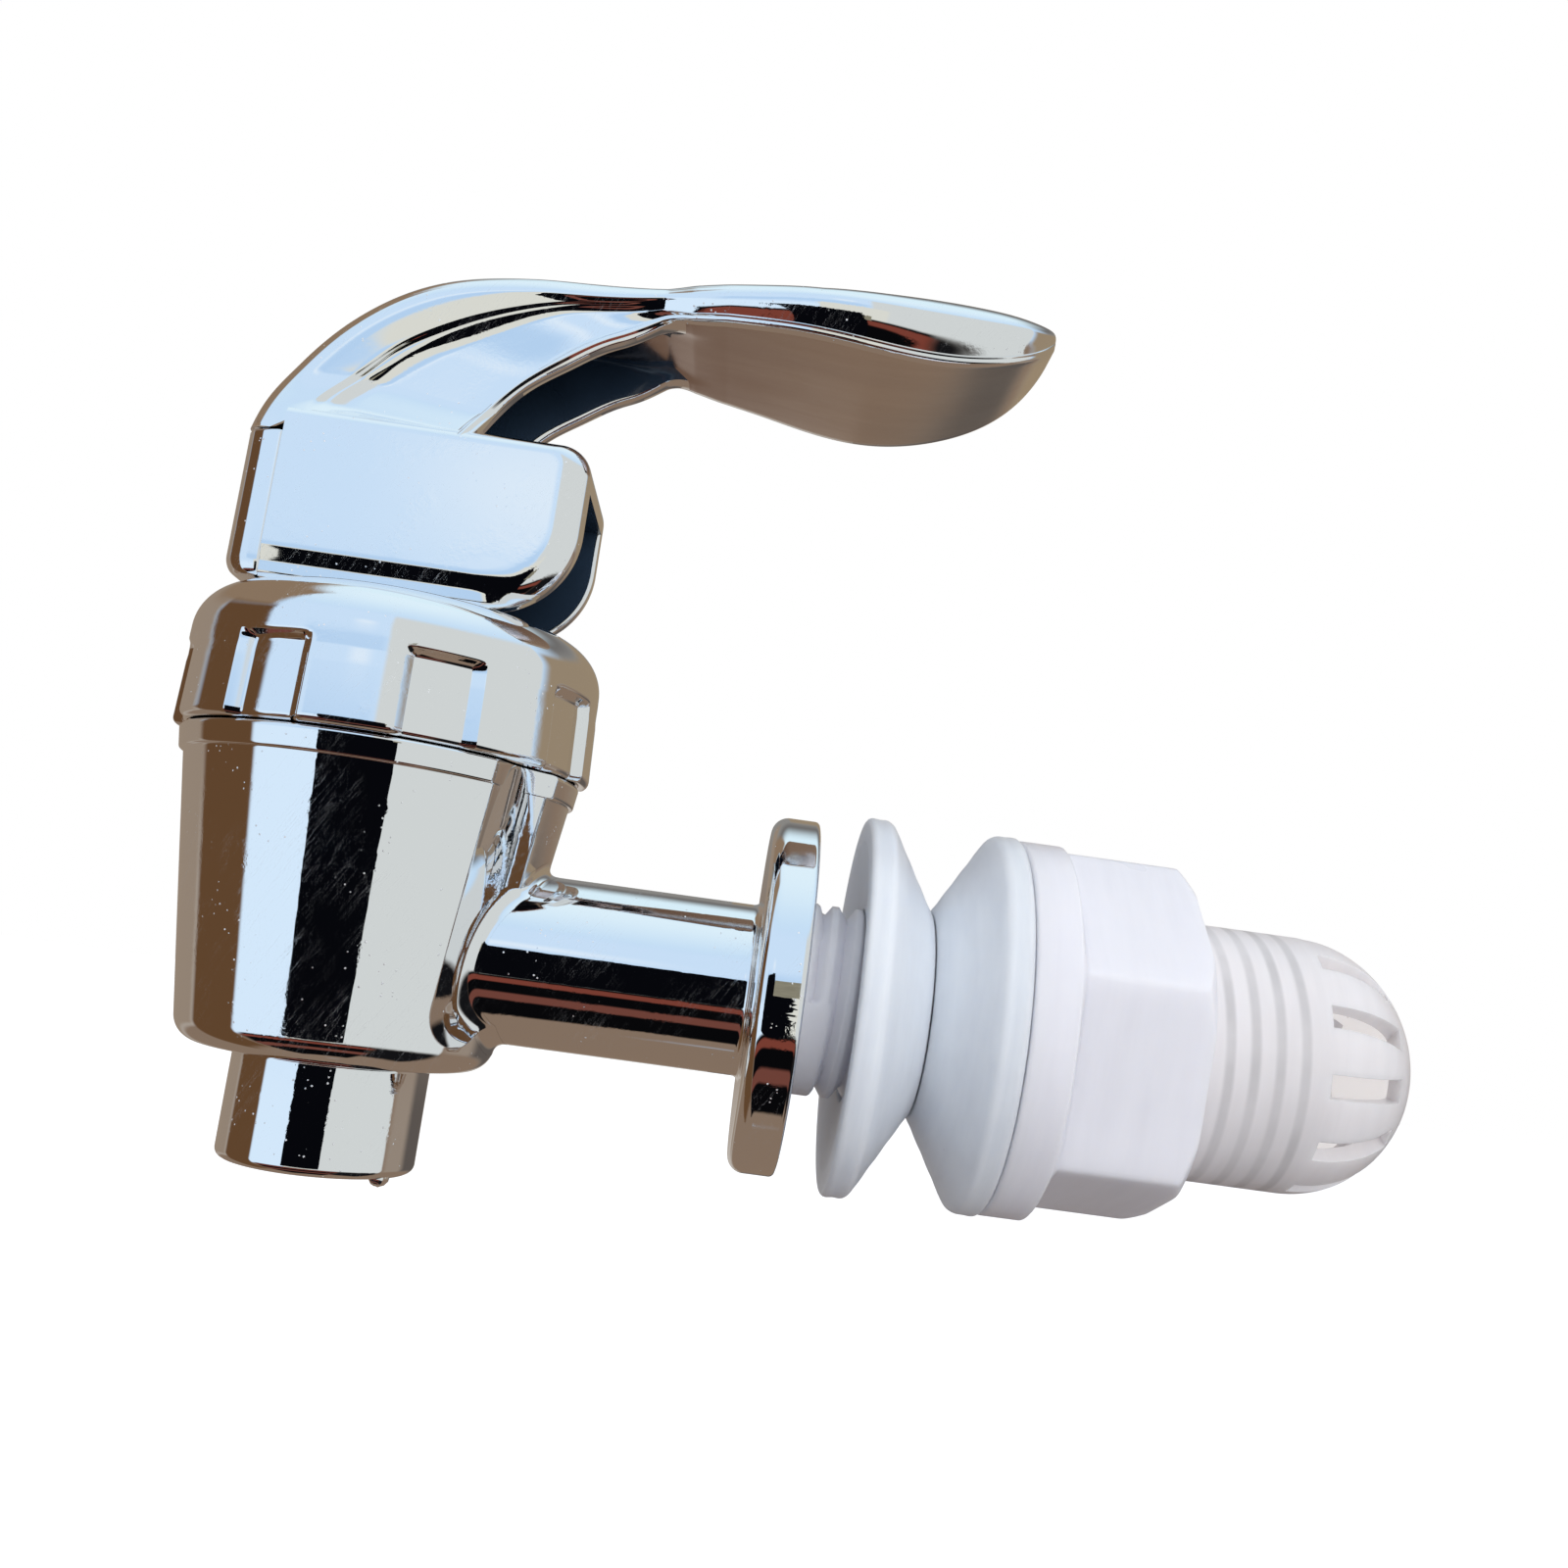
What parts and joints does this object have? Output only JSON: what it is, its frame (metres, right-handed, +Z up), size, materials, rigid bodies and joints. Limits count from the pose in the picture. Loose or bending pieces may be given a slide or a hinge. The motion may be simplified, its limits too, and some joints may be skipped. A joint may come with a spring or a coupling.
{
  "type": "beverage dispenser spigot",
  "caption": "Plated plastic drinks tap: tapered barrel with a downward nozzle, rocking lever with a thumb paddle, and a threaded shank with cone washers, lock nut and strainer cap.",
  "frame": {"origin": "centre of the flange's back face, on the shank's axis, where the tap meets the vessel's wall", "axes": "+X runs along the shank into the vessel, +Z runs up along the barrel to the lever, +Y is the tap's right-hand side seen from the vessel"},
  "size_m": [0.1067, 0.0344, 0.0804],
  "materials": {
    "plated_plastic": "mirror bright plating over moulded plastic",
    "natural_plastic": "milky, slightly see-through, soft gloss",
    "clear_silicone": "milky translucent, satin",
    "white_silicone": "satin",
    "white_acetal": "smooth satin",
    "steel": "drawn stainless wire"
  },
  "bodies": {
    "tap": {"tap_body": "plated_plastic", "threaded_shank": "natural_plastic", "shank_seal": "white_silicone", "bonnet": "plated_plastic"},
    "swivel": {"spring_washer": "white_acetal"},
    "stem": {"valve_stem": "white_acetal", "seat_cup": "white_silicone", "return_spring": "steel"},
    "lever": {"lever": "plated_plastic", "lever_front_cover": "plated_plastic", "lever_pin": "steel"},
    "outer_washer": {"outer_cone_washer": "clear_silicone"},
    "inner_washer": {"inner_cone_washer": "clear_silicone"},
    "nut": {"lock_nut": "natural_plastic"},
    "strainer": {"strainer_cap": "natural_plastic"}
  },
  "joints": [
    {"name": "lever_swivel", "type": "hinge", "parent": "tap", "child": "swivel", "pos_m": [-0.0372, 0, 0.0351], "axis": [0, 0, 1], "continuous": true},
    {"name": "stem_lift", "type": "slide", "parent": "swivel", "child": "stem", "axis": [0, 0, 1], "range_m": [0, 0.00285], "deforming": ["return_spring", "seat_cup"]},
    {"name": "lever_tilt", "type": "hinge", "parent": "stem", "child": "lever", "pos_m": [-0.0372, 0, 0.0351], "axis": [0, 1, 0], "range_deg": [0, 22], "stiffness_Nm_per_rad": 0.05625, "springref_deg": -61.12},
    {"name": "outer_washer_slide", "type": "slide", "parent": "tap", "child": "outer_washer", "axis": [1, 0, 0], "range_m": [-0.0037, 0]},
    {"name": "inner_washer_slide", "type": "slide", "parent": "tap", "child": "inner_washer", "axis": [1, 0, 0], "range_m": [0, 0.03]},
    {"name": "nut_travel", "type": "slide", "parent": "inner_washer", "child": "nut", "axis": [1, 0, 0], "range_m": [0, 0.024]},
    {"name": "strainer_travel", "type": "slide", "parent": "nut", "child": "strainer", "axis": [1, 0, 0], "range_m": [0, 0.012]}
  ],
  "couplings": [
    {"joint": "lever_tilt", "follows": "stem_lift", "rad_per_m": 133.33}
  ]
}
